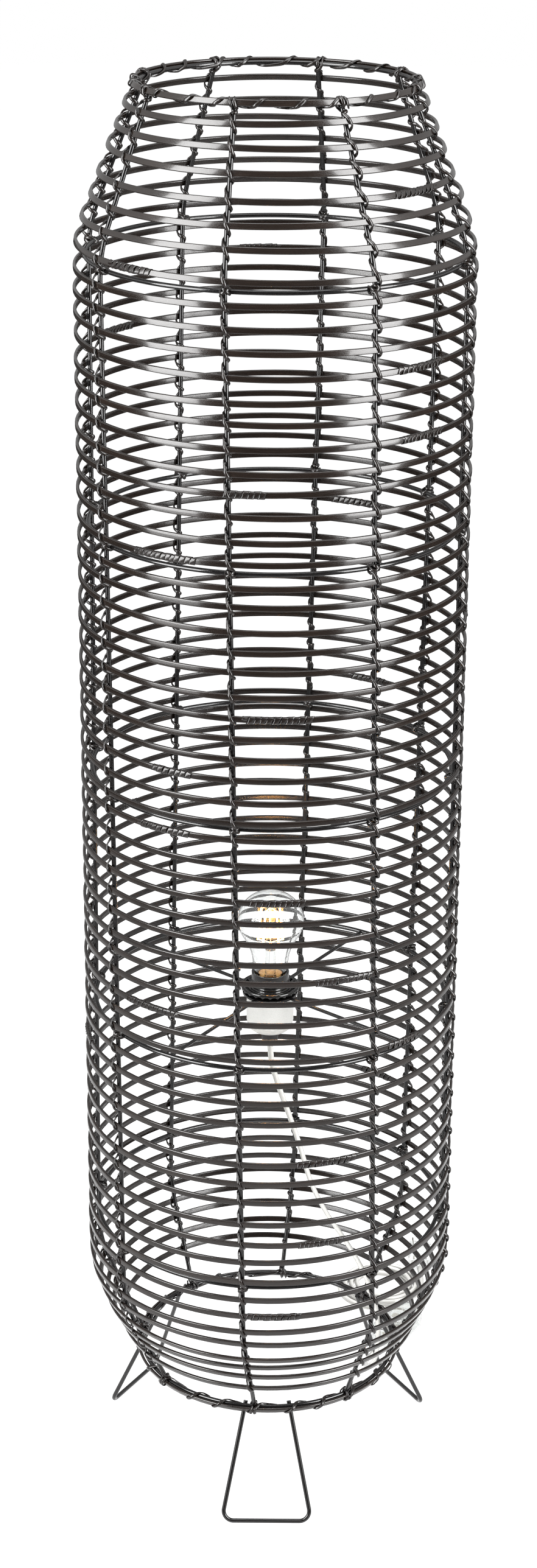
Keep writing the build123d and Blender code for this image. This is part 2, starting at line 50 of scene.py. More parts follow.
def linear(hexColour, alpha=1.0):
    # sRGB hex to the linear colour that the sockets take
    channels = [int(hexColour[i:i + 2], 16) / 255 for i in (1, 3, 5)]
    return [c / 12.92 if c <= 0.04045 else ((c + 0.055) / 1.055) ** 2.4 for c in channels] + [alpha]


def addNode(tree, kind, settings={}, links={}):
    # settings: socket name or number, or a property of the node; links: socket to an output
    node = tree.nodes.new(kind)
    for key, value in settings.items():
        if isinstance(key, int) or key in node.inputs:
            node.inputs[key].default_value = value
        else:
            setattr(node, key, value)
    for key, source in links.items():
        tree.links.new(source, node.inputs[key])
    return node


def startMaterial(name):
    material = bpy.data.materials.new(name)
    material.use_nodes = True
    tree = material.node_tree
    tree.nodes.clear()
    shader = addNode(tree, "ShaderNodeBsdfPrincipled")
    addNode(tree, "ShaderNodeOutputMaterial", {}, {"Surface": shader.outputs["BSDF"]})
    return material, tree, shader


def setSockets(shader, **values):
    for name, value in values.items():
        shader.inputs[name.replace("_", " ")].default_value = value


def rampNode(tree, source, stops):
    ramp = addNode(tree, "ShaderNodeValToRGB", {}, {"Fac": source})
    elements = ramp.color_ramp.elements
    while len(elements) < len(stops):
        elements.new(0.5)
    for element, (position, hexColour) in zip(elements, stops):
        element.position = position
        element.color = linear(hexColour)
    return ramp.outputs["Color"]


def mathNode(tree, operation, first, second=None):
    node = addNode(tree, "ShaderNodeMath", {"operation": operation})
    for slotNumber, value in enumerate((first, second)):
        if value is None:
            continue
        if isinstance(value, (int, float)):
            node.inputs[slotNumber].default_value = value
        else:
            tree.links.new(value, node.inputs[slotNumber])
    return node.outputs[0]


def objectNoise(tree, scale, detail, roughness=0.5):
    # noise in Object coordinates; scale counts in features a metre
    place = addNode(tree, "ShaderNodeTexCoord")
    noise = addNode(tree, "ShaderNodeTexNoise", {"Scale": scale, "Detail": detail, "Roughness": roughness},
                    {"Vector": place.outputs["Object"]})
    return noise.outputs["Fac"]


def bumpFrom(tree, shader, height, strength, distance):
    bump = addNode(tree, "ShaderNodeBump", {"Strength": strength, "Distance": distance}, {"Height": height})
    tree.links.new(bump.outputs[0], shader.inputs["Normal"])


def roundTheAxis(tree, radius):
    # Object coordinates rolled out: along the circle, up, and out, in metres; the seam is at the back
    place = addNode(tree, "ShaderNodeTexCoord")
    split = addNode(tree, "ShaderNodeSeparateXYZ", {}, {0: place.outputs["Object"]})
    front = mathNode(tree, "MULTIPLY", split.outputs["Y"], -1)
    angle = mathNode(tree, "ARCTAN2", split.outputs["X"], front)
    along = mathNode(tree, "MULTIPLY", angle, radius)
    return along, split.outputs["Z"]


def stretchedNoise(tree, along, up, across, alongMm, acrossMm, detail=3.0, roughness=0.6):
    # noise with its grain alongMm long and acrossMm wide
    joined = addNode(tree, "ShaderNodeCombineXYZ")
    for socket, (source, size) in enumerate(((along, alongMm), (up, acrossMm), (across, 1.0))):
        if source is None:
            continue
        scaled = mathNode(tree, "MULTIPLY", source, 1000 / size) if socket < 2 else source
        tree.links.new(scaled, joined.inputs[socket])
    return addNode(tree, "ShaderNodeTexNoise", {"Scale": 1.0, "Detail": detail, "Roughness": roughness},
                   {"Vector": joined.outputs[0]}).outputs["Fac"]


def newPiece(name, bm, material, body, replaced=(), smooth=True, outwards=True):
    if outwards:
        bmesh.ops.recalc_face_normals(bm, faces=bm.faces)
    mesh = bpy.data.meshes.new(name)
    bm.to_mesh(mesh)
    bm.free()
    for polygon in mesh.polygons:
        polygon.use_smooth = smooth
    piece = bpy.data.objects.new(name, mesh)
    collection.objects.link(piece)
    mesh.materials.append(material)
    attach(piece, body)
    if replaced:
        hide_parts(*replaced)
    return piece


def nurbsCurve(name, routes, closed=False, resolution=2):
    curve = bpy.data.curves.new(name, "CURVE")
    curve.dimensions = "3D"
    curve.resolution_u = resolution
    for route in routes:
        spline = curve.splines.new("NURBS")
        spline.points.add(len(route) - 1)
        for point, spot in zip(spline.points, route):
            point.co = (*spot, 1)
        spline.order_u = 3
        spline.use_cyclic_u = closed
        spline.use_endpoint_u = not closed
    return curve


def splineLine(points, closed=False, resolution=2):
    # the smooth line through a route, read from a spline with no bevel, in the route's own units
    curve = nurbsCurve("routeLine", [points], closed, resolution)
    holder = bpy.data.objects.new("routeLine", curve)
    collection.objects.link(holder)
    bpy.context.view_layer.update()
    mesh = bpy.data.meshes.new_from_object(holder)
    line = [v.co.copy() for v in mesh.vertices]
    bpy.data.objects.remove(holder)
    bpy.data.curves.remove(curve)
    bpy.data.meshes.remove(mesh)
    return line


def carrySection(bm, section, spots, facings, closed=False, uvLayer=None):
    # a section of (sideways, facing) points carried along spots, ring by ring; gives the length
    count = len(section)
    length = 0.0
    rings = []
    for number, (spot, facing) in enumerate(zip(spots, facings)):
        before = spots[number - 1] if number or closed else spot
        after = spots[(number + 1) % len(spots)] if number < len(spots) - 1 or closed else spot
        along = (after - before).normalized()
        side = along.cross(facing).normalized()
        face = side.cross(along)
        if number:
            length += (spot - spots[number - 1]).length
        rings.append(([bm.verts.new(spot + side * u + face * v) for u, v in section], length))
    pairs = list(zip(rings, rings[1:])) + ([(rings[-1], rings[0])] if closed else [])
    for (ring, run), (nextRing, nextRun) in pairs:
        for step in range(count):
            following = (step + 1) % count
            wall = bm.faces.new((ring[step], ring[following], nextRing[following], nextRing[step]))
            if uvLayer:
                shares = (step / count, (step + 1) / count, (step + 1) / count, step / count)
                for loop, share, place in zip(wall.loops, shares, (run, run, nextRun, nextRun)):
                    loop[uvLayer].uv = (place, share)
    if not closed:
        bm.faces.new(rings[0][0][::-1])
        bm.faces.new(rings[-1][0])
    return length


# a split strand's section: crowned back, flat belly; shares of its width and thickness
strandSection = ((-0.5, -0.15), (-0.3, 0.35), (0.0, 0.5), (0.3, 0.35), (0.5, -0.15), (0.0, -0.5))


def strandOf(width, thickness):
    return [(u * width * mm, v * thickness * mm) for u, v in strandSection]


# ---- camera

cameraView = {
    "focalPixels": 4971.0,
    "imageWidth": 882,
    "imageHeight": 2576,
    "centreColumn": 446.2,
    "pitch": 21.54,
    "roll": 0.41,
    "place": (0.0, -2.479, 1.645),
    "sensor": 36.0,
}


def placeCamera(settings):
    data = bpy.data.cameras.new("photoCamera")
    data.sensor_fit = "AUTO"
    data.sensor_width = settings["sensor"]
    data.lens = settings["focalPixels"] / settings["imageHeight"] * settings["sensor"]
    data.shift_x = (settings["imageWidth"] / 2 - settings["centreColumn"]) / settings["imageHeight"]
    data.clip_start = 0.05
    camera = bpy.data.objects.new("photoCamera", data)
    collection.objects.link(camera)
    tilt = Matrix.Rotation(math.radians(90 - settings["pitch"]), 4, "X")
    roll = Matrix.Rotation(math.radians(settings["roll"]), 4, "Z")
    camera.matrix_world = Matrix.Translation(settings["place"]) @ tilt @ roll
    bpy.context.scene.camera = camera


placeCamera(cameraView)
print("camera placed")


# ---- cord materials

def makeCordVinyl():
    # silver-clear PVC, extruded as a flat twin: two bright conductors show as streaks along it
    material, tree, shader = startMaterial("silverClearVinyl")
    uv = addNode(tree, "ShaderNodeUVMap", {"uv_map": "cordMap"})
    split = addNode(tree, "ShaderNodeSeparateXYZ", {}, {0: uv.outputs["UV"]})
    strands = mathNode(tree, "MULTIPLY", split.outputs["Y"], 4 * math.pi)
    # the strands' lay makes one turn in 14 mm
    twist = mathNode(tree, "MULTIPLY", split.outputs["X"], 2 * math.pi / 0.014)
    around = mathNode(tree, "MULTIPLY", split.outputs["Y"], 60.0)
    fine = mathNode(tree, "MULTIPLY", mathNode(tree, "SINE", mathNode(tree, "ADD", around, twist)), 0.08)
    streak = mathNode(tree, "MULTIPLY", mathNode(tree, "COSINE", strands), 0.34)
    mixed = mathNode(tree, "ADD", streak, fine)
    level = mathNode(tree, "ADD", mixed, 0.5)
    colour = rampNode(tree, level, ((0.1, "#a9a8a4"), (0.5, "#cfceca"), (0.9, "#efeeea")))
    tree.links.new(colour, shader.inputs["Base Color"])
    setSockets(shader, Roughness=0.24, IOR=1.53, Coat_Weight=0.6, Coat_Roughness=0.12, Subsurface_Weight=0.0)
    return material


cordVinyl = makeCordVinyl()

# ---- cords: the same points as the part's source, in metres

cordFacts = {
    "width": 5.6,
    "thickness": 4.7,
    "waist": 0.13,
    "sides": 16,
    "switchCentre": (131.0, 175.0),
    "switchTurn": 30.0,
    "switchHoleHeight": 3.8,
    "coilCentre": (117.0, 257.0),
    "coilRadii": (42.7, 39.65, 36.6, 33.55, 30.5, 27.45, 24.4, 27.45, 30.5, 33.55, 36.6, 39.65),
    "coilClimb": 6,
    "coilTail": 20.0,
    "layerRise": 6.1,
    "floorLay": 2.8,
    "pointsPerHalfTurn": 7,
    "pull": 0.975,
}

cordRoute = (
    (0.0, 0.0, 400.0),
    (6.0, 1.0, 375.0),
    (17.0, 4.0, 341.0),
    (29.0, 5.0, 304.0),
    (38.0, 4.0, 268.0),
    (53.0, 6.0, 234.0),
    (76.0, 9.0, 197.0),
    (94.0, 11.5, 160.0),
    (104.0, 14.0, 123.0),
    (106.0, 19.0, 90.0),
    (105.0, 37.0, 58.0),
    (101.0, 62.0, 32.0),
    (97.0, 91.0, 12.5),
    (98.0, 118.0, 2.8),
)


def switchAxis(distance):
    turn = math.radians(cordFacts["switchTurn"])
    x, y = cordFacts["switchCentre"]
    return (x + distance * math.sin(turn), y + distance * math.cos(turn), cordFacts["switchHoleHeight"])


def coilPoints():
    # the coil's turns as more points of the cord's own spline
    points = []
    centreX, centreY = cordFacts["coilCentre"]
    x = centreX + cordFacts["coilRadii"][0]
    z = cordFacts["floorLay"]
    side = -1
    count = cordFacts["pointsPerHalfTurn"]
    for number, radius in enumerate(cordFacts["coilRadii"]):
        middle = x + side * radius
        rise = cordFacts["layerRise"] if number == cordFacts["coilClimb"] else 0
        for step in range(count):
            share = (step + 0.5) / count
            angle = math.pi * share
            reach = radius / cordFacts["pull"]
            points.append((middle - side * reach * math.cos(angle),
                           centreY - side * reach * math.sin(angle), z + rise * share))
        x += 2 * side * radius
        z += rise
        side = -side
    return points, x, z


def flatTwin(name, points, twistPerMetre, twistStart):
    # a flat twin cord: a two-lobed section carried along the cord's spline
    path = splineLine([[c * mm for c in p] for p in points], resolution=6)
    section = []
    for step in range(cordFacts["sides"]):
        angle = 2 * math.pi * step / cordFacts["sides"]
        waist = 1 - cordFacts["waist"] * math.sin(angle) ** 8
        section.append((cordFacts["width"] / 2 * mm * math.cos(angle),
                        cordFacts["thickness"] / 2 * mm * math.sin(angle) * waist))
    facings = []
    facing = Vector((0, -1, 0))
    length = 0.0
    for number, spot in enumerate(path):
        before = path[max(number - 1, 0)]
        along = (path[min(number + 1, len(path) - 1)] - before).normalized()
        facing = (facing - along * facing.dot(along)).normalized()
        length += (spot - before).length
        facings.append(Matrix.Rotation(twistStart + twistPerMetre * length, 3, along) @ facing)
    bm = bmesh.new()
    uvLayer = bm.loops.layers.uv.new("cordMap")
    carrySection(bm, section, path, facings, uvLayer=uvLayer)
    return bm, path, length


gripLow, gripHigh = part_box("cord_grip")
runPoints = [(0.0, 0.0, gripLow.z / mm + 10), *cordRoute, switchAxis(-43.0), switchAxis(-29.0)]
bm, runPath, runLength = flatTwin("cordRun", runPoints, 4.0, 0.5)
cordRun = newPiece("cordRun", bm, cordVinyl, "basket", ("cord_run",))

turns, coilEndX, coilEndZ = coilPoints()
centreX, centreY = cordFacts["coilCentre"]
coilStartX = centreX + cordFacts["coilRadii"][0]
floorLay = cordFacts["floorLay"]
leadPoints = [switchAxis(29.0), switchAxis(36.6), (coilStartX, 224.7, floorLay),
              (coilStartX, 251.4, floorLay), *turns,
              (coilEndX, centreY + cordFacts["coilTail"], coilEndZ),
              (coilEndX, centreY + cordFacts["coilTail"] + 8.4, coilEndZ)]
bm, leadPath, leadLength = flatTwin("cordLead", leadPoints, 0.0, 0.0)
cordLead = newPiece("cordLead", bm, cordVinyl, "basket", ("cord_link", "cord_coil"))
print("cords laid", round(runLength, 3), round(leadLength, 3))


# ---- basket materials

def makeLacqueredStrip():
    # rattan peel strip, stained black-brown and lacquered: dark satin face, fine fibres along it,
    # broken bright patches where it mirrors a lamp
    material, tree, shader = startMaterial("lacqueredRattanStrip")
    along, up = roundTheAxis(tree, 0.16)
    tone = addNode(tree, "ShaderNodeAttribute", {"attribute_name": "hoopTone"}).outputs["Fac"]
    fibres = stretchedNoise(tree, along, up, tone, 22.0, 0.9)  # real fibres 0.3 mm, drawn 0.9 mm to show
    patches = stretchedNoise(tree, along, up, tone, 60.0, 40.0, 2.0)
    fibreShare = mathNode(tree, "MULTIPLY", fibres, 0.55)
    joined = mathNode(tree, "ADD", fibreShare, mathNode(tree, "MULTIPLY", patches, 0.25))
    level = mathNode(tree, "ADD", joined, mathNode(tree, "MULTIPLY", tone, 0.02))
    colour = rampNode(tree, level, ((0.25, "#120d0a"), (0.5, "#1d1612"), (0.75, "#2c221c")))
    tree.links.new(colour, shader.inputs["Base Color"])
    grit = stretchedNoise(tree, along, up, tone, 3.0, 1.1, 2.0)
    rough = mathNode(tree, "ADD", mathNode(tree, "MULTIPLY", grit, 0.14), 0.14)
    tree.links.new(rough, shader.inputs["Roughness"])
    height = mathNode(tree, "ADD", fibres, mathNode(tree, "MULTIPLY", grit, 0.5))
    bumpFrom(tree, shader, height, 0.35, 0.0002)
    setSockets(shader, IOR=1.5, Coat_Weight=0.8, Coat_Roughness=0.1)
    return material


def makeLacqueredStrand():
    # split rattan strand, stained and lacquered: darker and glossier than the hoops, with small glints
    material, tree, shader = startMaterial("lacqueredRattanStrand")
    grain = objectNoise(tree, 450.0, 3.0)
    blotch = objectNoise(tree, 60.0, 2.0)
    grainShare = mathNode(tree, "MULTIPLY", grain, 0.6)
    level = mathNode(tree, "ADD", grainShare, mathNode(tree, "MULTIPLY", blotch, 0.4))
    colour = rampNode(tree, level, ((0.3, "#100d0b"), (0.55, "#1b1512"), (0.8, "#2a211c")))
    tree.links.new(colour, shader.inputs["Base Color"])
    bumpFrom(tree, shader, grain, 0.5, 0.0003)
    setSockets(shader, Roughness=0.27, IOR=1.5, Coat_Weight=0.7, Coat_Roughness=0.12)
    return material


def makeEnamelledWire():
    # steel wire under black stoving enamel: a sharp bright line along each wire, faint orange peel
    material, tree, shader = startMaterial("enamelledSteelWire")
    peel = objectNoise(tree, 700.0, 1.0)
    colour = rampNode(tree, peel, ((0.3, "#0d0c0c"), (0.7, "#181616")))
    tree.links.new(colour, shader.inputs["Base Color"])
    bumpFrom(tree, shader, peel, 0.12, 0.0002)
    setSockets(shader, Roughness=0.16, IOR=1.52, Coat_Weight=0.6, Coat_Roughness=0.05)
    return material


lacqueredStrip = makeLacqueredStrip()
lacqueredStrand = makeLacqueredStrand()
enamelledWire = makeEnamelledWire()

# ---- basket

basket = {
    # of each bay: how many hoops, where the first lies along the rib, and their pitch
    "bays": ((7, 15.6, 19.9), (12, 155.5, 19.0), (12, 383.5, 18.6), (12, 605.0, 18.5), (11, 828.0, 19.6),
             (8, 1042.0, 15.9)),
    "unevenness": 0.9,
    "hoopHeight": 5.2,
    "hoopThickness": 2.6,
    "hoopEdge": 0.8,
    "hoopOffset": 4.05,
    "hoopSteps": 96,
    "ribAngles": (-11, 32, 78, 124, 168, 213, 258, 303),
    "ribLean": 1.1,
    "middleHeight": 688.5,
    "topRadius": 113.0,
    "topHeight": 1275.0,
    "topLean": 21.36,
    "ribCourse": ((112.4, 0.0), (41.0, -21.36), (911.44, 0.0), (42.9, -24.6), (82.7, 0.0)),
}


def ribAt(distance):
    # radius, height and lean from straight down, at a distance down the rib, in mm and radians
    radius, height = basket["topRadius"], basket["topHeight"]
    lean = math.radians(basket["topLean"])
    for length, bend in basket["ribCourse"]:
        step = min(distance, length)
        turn = math.radians(bend) * step / length
        chord = step if bend == 0 else 2 * length / math.radians(bend) * math.sin(turn / 2)
        radius += chord * math.sin(lean + turn / 2)
        height -= chord * math.cos(lean + turn / 2)
        lean += turn
        distance -= step
        if distance <= 0:
            break
    return radius, height, lean


hoopDistances = []
for count, first, pitch in basket["bays"]:
    for step in range(count):
        index = len(hoopDistances)
        uneven = math.sin(2.4 * index) + 0.5 * math.sin(5.3 * index + 1)
        hoopDistances.append(first + pitch * step + basket["unevenness"] * uneven)
ribLength = sum(length for length, bend in basket["ribCourse"])


def hoopWobble(index, angle):
    # how far a hand-bent hoop stands out and up from its true circle, in mm
    out = 0.25 + 0.25 * math.sin(3 * angle + 2.2 * index)
    up = 1.0 * math.sin(angle + 1.7 * index) + 0.5 * math.sin(2 * angle + 2.9 * index)
    return out, up


def onBasket(distance, angle, out, across, down, sway=0.0):
    # a point beside the rib line: angle from the front toward the right in degrees, the rest in mm
    radius, height, lean = ribAt(distance)
    radial = radius + out * math.cos(lean) + down * math.sin(lean)
    level = height + out * math.sin(lean) - down * math.cos(lean)
    sideways = across + sway
    turn = math.radians(angle)
    return (mm * (radial * math.sin(turn) + sideways * math.cos(turn)),
            mm * (-radial * math.cos(turn) + sideways * math.sin(turn)), mm * level)


def ribSway(height):
    # the ribs lean sideways as they rise
    return -(height - basket["middleHeight"]) * math.sin(math.radians(basket["ribLean"]))


def stripOutline(grow=0.0):
    # a strip's section with eased edges: out and up from its middle, in mm
    halfOut = basket["hoopThickness"] / 2 + grow
    halfUp = basket["hoopHeight"] / 2 + grow
    ease = basket["hoopEdge"] + grow
    points = []
    rounding = 0.3 * ease
    for cornerOut, cornerUp in ((1, 1), (-1, 1), (-1, -1), (1, -1)):
        corner = [(halfOut, halfUp - ease), (halfOut - rounding, halfUp - rounding), (halfOut - ease, halfUp)]
        corner = [(o * cornerOut, u * cornerUp) for o, u in corner]
        points += corner if cornerOut == cornerUp else corner[::-1]
    return points


def spinStrip(bm, distance, startAngle, sweep, steps, grow=0.0):
    # a strip spun round the axis; angles in degrees from the front toward the right
    radius, height, lean = ribAt(distance)
    verts = []
    for out, up in stripOutline(grow):
        offset = basket["hoopOffset"] + out
        radial = radius + offset * math.cos(lean) - up * math.sin(lean)
        level = height + offset * math.sin(lean) + up * math.cos(lean)
        verts.append(bm.verts.new((0, -radial * mm, level * mm)))
    edges = [bm.edges.new((verts[i], verts[(i + 1) % len(verts)])) for i in range(len(verts))]
    turned = Matrix.Rotation(math.radians(startAngle), 3, "Z")
    bmesh.ops.rotate(bm, verts=verts, cent=(0, 0, 0), matrix=turned)
    full = sweep >= 360
    known = set(bm.verts)
    result = bmesh.ops.spin(bm, geom=verts + edges, cent=(0, 0, 0), axis=(0, 0, 1), dvec=(0, 0, 0),
                            angle=math.radians(sweep), steps=steps, use_merge=full)
    made = verts + [v for v in bm.verts if v not in known]
    if not full:
        lastEdges = [g for g in result["geom_last"] if isinstance(g, bmesh.types.BMEdge)]
        bmesh.ops.contextual_create(bm, geom=edges)
        bmesh.ops.contextual_create(bm, geom=lastEdges)
    return made


def vertAngle(vert):
    return math.atan2(vert.co.x, -vert.co.y)


def buildHoops():
    names = ("hoopsShoulder", "hoopsBayOne", "hoopsBayTwo", "hoopsBayThree", "hoopsBayFour", "hoopsTaper")
    replaced = ("hoops_shoulder", "hoops_bay_1", "hoops_bay_2", "hoops_bay_3", "hoops_bay_4", "hoops_taper")
    index = 0
    for bay, (count, first, pitch) in enumerate(basket["bays"]):
        bm = bmesh.new()
        toneLayer = bm.verts.layers.float.new("hoopTone")
        hoops = [(index + step, hoopDistances[index + step]) for step in range(count)]
        index += count
        if bay == 0:
            hoops.insert(0, (-1, 0.0))
        if bay == len(basket["bays"]) - 1:
            hoops.append((99, ribLength))
        for number, distance in hoops:
            for vert in spinStrip(bm, distance, 0, 360, basket["hoopSteps"]):
                vert[toneLayer] = 2.5 * math.sin(3.7 * number) + 2.5
                if 0 <= number < 99:
                    out, up = hoopWobble(number, vertAngle(vert))
                    outward = Vector((vert.co.x, vert.co.y, 0)).normalized()
                    vert.co += (outward * out + Vector((0, 0, up))) * mm
        hoops = newPiece(names[bay], bm, lacqueredStrip, "basket", (replaced[bay],))
        hoops.modifiers.new("flatFaces", "WEIGHTED_NORMAL")


buildHoops()
print("hoops bent")

strands = {
    "width": 3.2,
    "thickness": 1.5,
    "rimWidth": 3.4,
    "rimThickness": 1.2,
    "rimTurnsPerSector": 3,
    "fullPitch": 18.6,
    # one turn at a hoop: out from the rib, to the right, and down from the hoop's middle, in mm
    "turn": ((0.6, -3.0, -8.6), (2.6, -2.2, -6.6), (4.9, -1.6, -4.3), (6.8, -0.8, -2.0), (6.8, 0.7, 0.8),
             (6.2, 1.7, 3.2), (3.2, 2.9, 4.8), (0.0, 3.1, 5.9), (-3.0, 1.4, 6.9), (-3.0, -1.4, 8.0)),
    "ringKnot": ((3.6, -2.4, -4.0), (3.7, 2.4, -1.0), (0.0, 4.4, 1.6), (-6.0, 3.4, 1.4), (-8.3, 0.0, 0.0),
                 (-6.0, -3.6, -1.4), (0.0, -4.2, -1.0), (3.8, -2.2, 1.6), (3.8, 2.2, -1.6), (0.0, 4.2, -3.0),
                 (-6.2, 3.0, -1.6), (-8.3, 0.0, 0.8), (-5.8, -3.2, 2.6), (0.0, -3.8, 3.8)),
    "rimKnot": ((3.4, 2.6, 7.4), (-3.4, 2.6, 6.0), (-3.8, -2.6, 3.0), (-3.4, -4.4, -1.6), (1.6, -4.4, -4.2),
                (6.6, -3.4, -2.6), (7.0, -2.2, 2.0), (2.6, -1.0, 4.4), (-3.6, -0.6, 2.2), (-3.4, -0.4, -2.6),
                (1.6, 0.4, -4.4), (6.8, 0.6, -2.6), (6.8, 1.6, 2.6), (3.0, 3.2, 4.8)),
}


def windOnRib(bm, route, angle, width, thickness):
    # route in mm: out from the rib's middle, to the right, and distance down the rib
    line = splineLine(route)
    spots = []
    facings = []
    for out, across, down in line:
        place = min(max(down, 0.0), ribLength)
        sway = ribSway(ribAt(place)[1])
        spots.append(Vector(onBasket(place, angle, out, across, down - place, sway)))
        core = 1.6 if out > 0 else 0.0
        further = Vector(onBasket(place, angle, out + (out - core), across * 2, down - place, sway))
        facings.append((further - spots[-1]).normalized())
    carrySection(bm, strandOf(width, thickness), spots, facings)


def buildStrands():
    ringSpots = []
    index = 0
    for count, first, pitch in basket["bays"][:-1]:
        index += count
        ringSpots.append((hoopDistances[index - 1] + hoopDistances[index]) / 2)
    marks = [("turn", d, i) for i, d in enumerate(hoopDistances)] + [("ringKnot", d, 0) for d in ringSpots]
    marks += [("top", 0.0, 0), ("base", ribLength, 0)]
    marks.sort(key=lambda mark: mark[1])
    lastStart, lastPitch = basket["bays"][-1][1:]
    for number, angle in enumerate(basket["ribAngles"], 1):
        route = []
        for kind, distance, index in marks:
            lift = 0.0
            if kind == "turn":
                radius, height, lean = ribAt(distance)
                wobbleOut, lift = hoopWobble(index, math.radians(angle) + ribSway(height) / radius)
            shape = {"top": strands["rimKnot"][::-1], "base": strands["rimKnot"]}.get(kind) or strands[kind]
            flip = -1 if kind == "base" else 1
            # the last bay's hoops lie closer, so the strand's reach between them is shorter
            inLastBay = distance > lastStart - 10
            tight = min(1.0, lastPitch / strands["fullPitch"]) if inLastBay else 1.0
            for step, (out, across, down) in enumerate(shape):
                loose = 0.3 * math.sin(5.1 * index + 2.3 * step + number)
                fade = max(0.0, 1.0 - abs(down) / 9)
                route.append((out + (0.5 * abs(loose) if out > 0 else -0.5 * abs(loose)), across + loose,
                              distance + flip * down * (tight if abs(down) > 5 else 1.0) - lift * fade))
        bm = bmesh.new()
        windOnRib(bm, route, angle, strands["width"], strands["thickness"])
        newPiece(f"ribStrand{number}", bm, lacqueredStrand, "basket",
                 (f"rib_lashing_{number}",))


buildStrands()

# round a rim: out, down, and share of the pitch travelled to the left
rimSection = ((-2.9, 0.4, 0.00), (-2.9, -1.4, 0.14), (-0.6, -3.1, 0.24), (3.6, -3.5, 0.31), (6.2, -2.4, 0.37),
              (6.3, 0.2, 0.45), (6.1, 2.5, 0.53), (3.4, 3.5, 0.59), (-0.3, 3.0, 0.66), (-2.7, 1.8, 0.80))


def buildRimWinding(name, distance, replaced):
    # the front crossings climb to the right, so the winding runs to the left as it goes down
    turns = strands["rimTurnsPerSector"] * len(basket["ribAngles"])
    pitch = 360 / turns
    route = []
    for turn in range(turns):
        for step, (out, down, share) in enumerate(rimSection):
            wander = 0.12 * pitch * math.sin(2.7 * turn)
            slack = 0.04 * (1 + math.sin(1.9 * turn + 0.7 * step))
            route.append((out * (1 + slack), down * (1 + slack), (turn + share) * pitch + wander))
    line = splineLine([(out, down, degrees) for out, down, degrees in route] +
                      [(route[0][0], route[0][1], route[0][2] + 360)], resolution=3)
    spots = []
    facings = []
    for out, down, degrees in line:
        spots.append(Vector(onBasket(distance, -degrees, out, 0, down)))
        further = Vector(onBasket(distance, -degrees, out + (out - 1.5), 0, down * 2))
        facings.append((further - spots[-1]).normalized())
    bm = bmesh.new()
    carrySection(bm, strandOf(strands["rimWidth"], strands["rimThickness"]), spots, facings)
    newPiece(name, bm, lacqueredStrand, "basket", (replaced,))


buildRimWinding("topRimWinding", 0.0, "top_rim_lashing")
buildRimWinding("baseRimWinding", ribLength, "base_rim_lashing")
print("strands wound")

splice = {
    "hoops": ((4, 50), (7, -44), (9, 185), (11, 45), (12, 238), (14, 46), (16, -8), (19, -32),
              (21, 153), (24, 95), (26, 2), (29, -30), (30, 148), (32, -33), (35, 2), (36, 235),
              (39, 22), (41, -38), (43, 45), (45, 280), (48, 18), (51, 142), (52, 16), (56, 2)),
    "length": 46.0,
    "width": 5.6,
    "thickness": 0.36,
    "pitch": 4.8,
    "tilt": 0.12,
    "stepsPerTurn": 14,
}


def hoopPoint(number, angle, run, out, up):
    # a point beside a hoop's middle line: run along it, out and up, in mm
    radius, level, lean = ribAt(hoopDistances[number])
    turn = math.radians(angle) + run / (radius + basket["hoopOffset"])
    wobbleOut, lift = hoopWobble(number, turn)
    offset = basket["hoopOffset"] + out
    radial = radius + offset * math.cos(lean) - up * math.sin(lean) + wobbleOut
    height = level + offset * math.sin(lean) + up * math.cos(lean) + lift
    return Vector((radial * math.sin(turn), -radial * math.cos(turn), height)) * mm


def windSplice(bm, number, angle):
    # a flat strip wound round the lapped ends of one hoop, each turn lapping the one before
    pitch = splice["pitch"] * (1 + 0.12 * math.sin(2.3 * number))
    turns = splice["length"] * (1 + 0.25 * math.sin(0.9 * number + 3.9)) / pitch
    steps = round(turns * splice["stepsPerTurn"])
    halfOut = (basket["hoopThickness"] + splice["thickness"]) / 2 + 0.2
    halfUp = (basket["hoopHeight"] + splice["thickness"]) / 2 + 0.2
    spots = []
    facings = []
    for step in range(steps + 1):
        share = step / splice["stepsPerTurn"]
        sweep = 2 * math.pi * share + number
        tuck = min(1.0, 0.72 + 0.56 * min(share, turns - share))
        slack = tuck * (1 + 0.06 * math.sin(2.9 * share + number))
        out = halfOut * slack * math.copysign(abs(math.cos(sweep)) ** 0.6, math.cos(sweep))
        up = halfUp * slack * math.copysign(abs(math.sin(sweep)) ** 0.6, math.sin(sweep))
        run = (share - turns / 2) * pitch + 0.5 * math.sin(1.3 * share + number)
        spots.append(hoopPoint(number, angle, run, out, up))
        further = hoopPoint(number, angle, run + splice["tilt"], out * (1 + 4 / halfOut), up * (1 + 4 / halfUp))
        facings.append((further - spots[-1]).normalized())
    carrySection(bm, strandOf(splice["width"], splice["thickness"]), spots, facings)


def buildSplices():
    bm = bmesh.new()
    for hoop, angle in splice["hoops"]:
        windSplice(bm, hoop - 1, angle)
    newPiece("spliceWraps", bm, lacqueredStrand, "basket", ("splice_wraps",))


buildSplices()
print("splices wound")


# ---- fittings' materials

def speckled(name, dark, light, scaleMm, roughness, bumpStrength=0.1, **sockets):
    # a plain moulded or drawn surface with a faint cloud of tone and grain
    material, tree, shader = startMaterial(name)
    cloud = objectNoise(tree, 1000 / scaleMm, 3.0)
    colour = rampNode(tree, cloud, ((0.3, dark), (0.7, light)))
    tree.links.new(colour, shader.inputs["Base Color"])
    bumpFrom(tree, shader, cloud, bumpStrength, 0.0001)
    setSockets(shader, Roughness=roughness, **sockets)
    return material


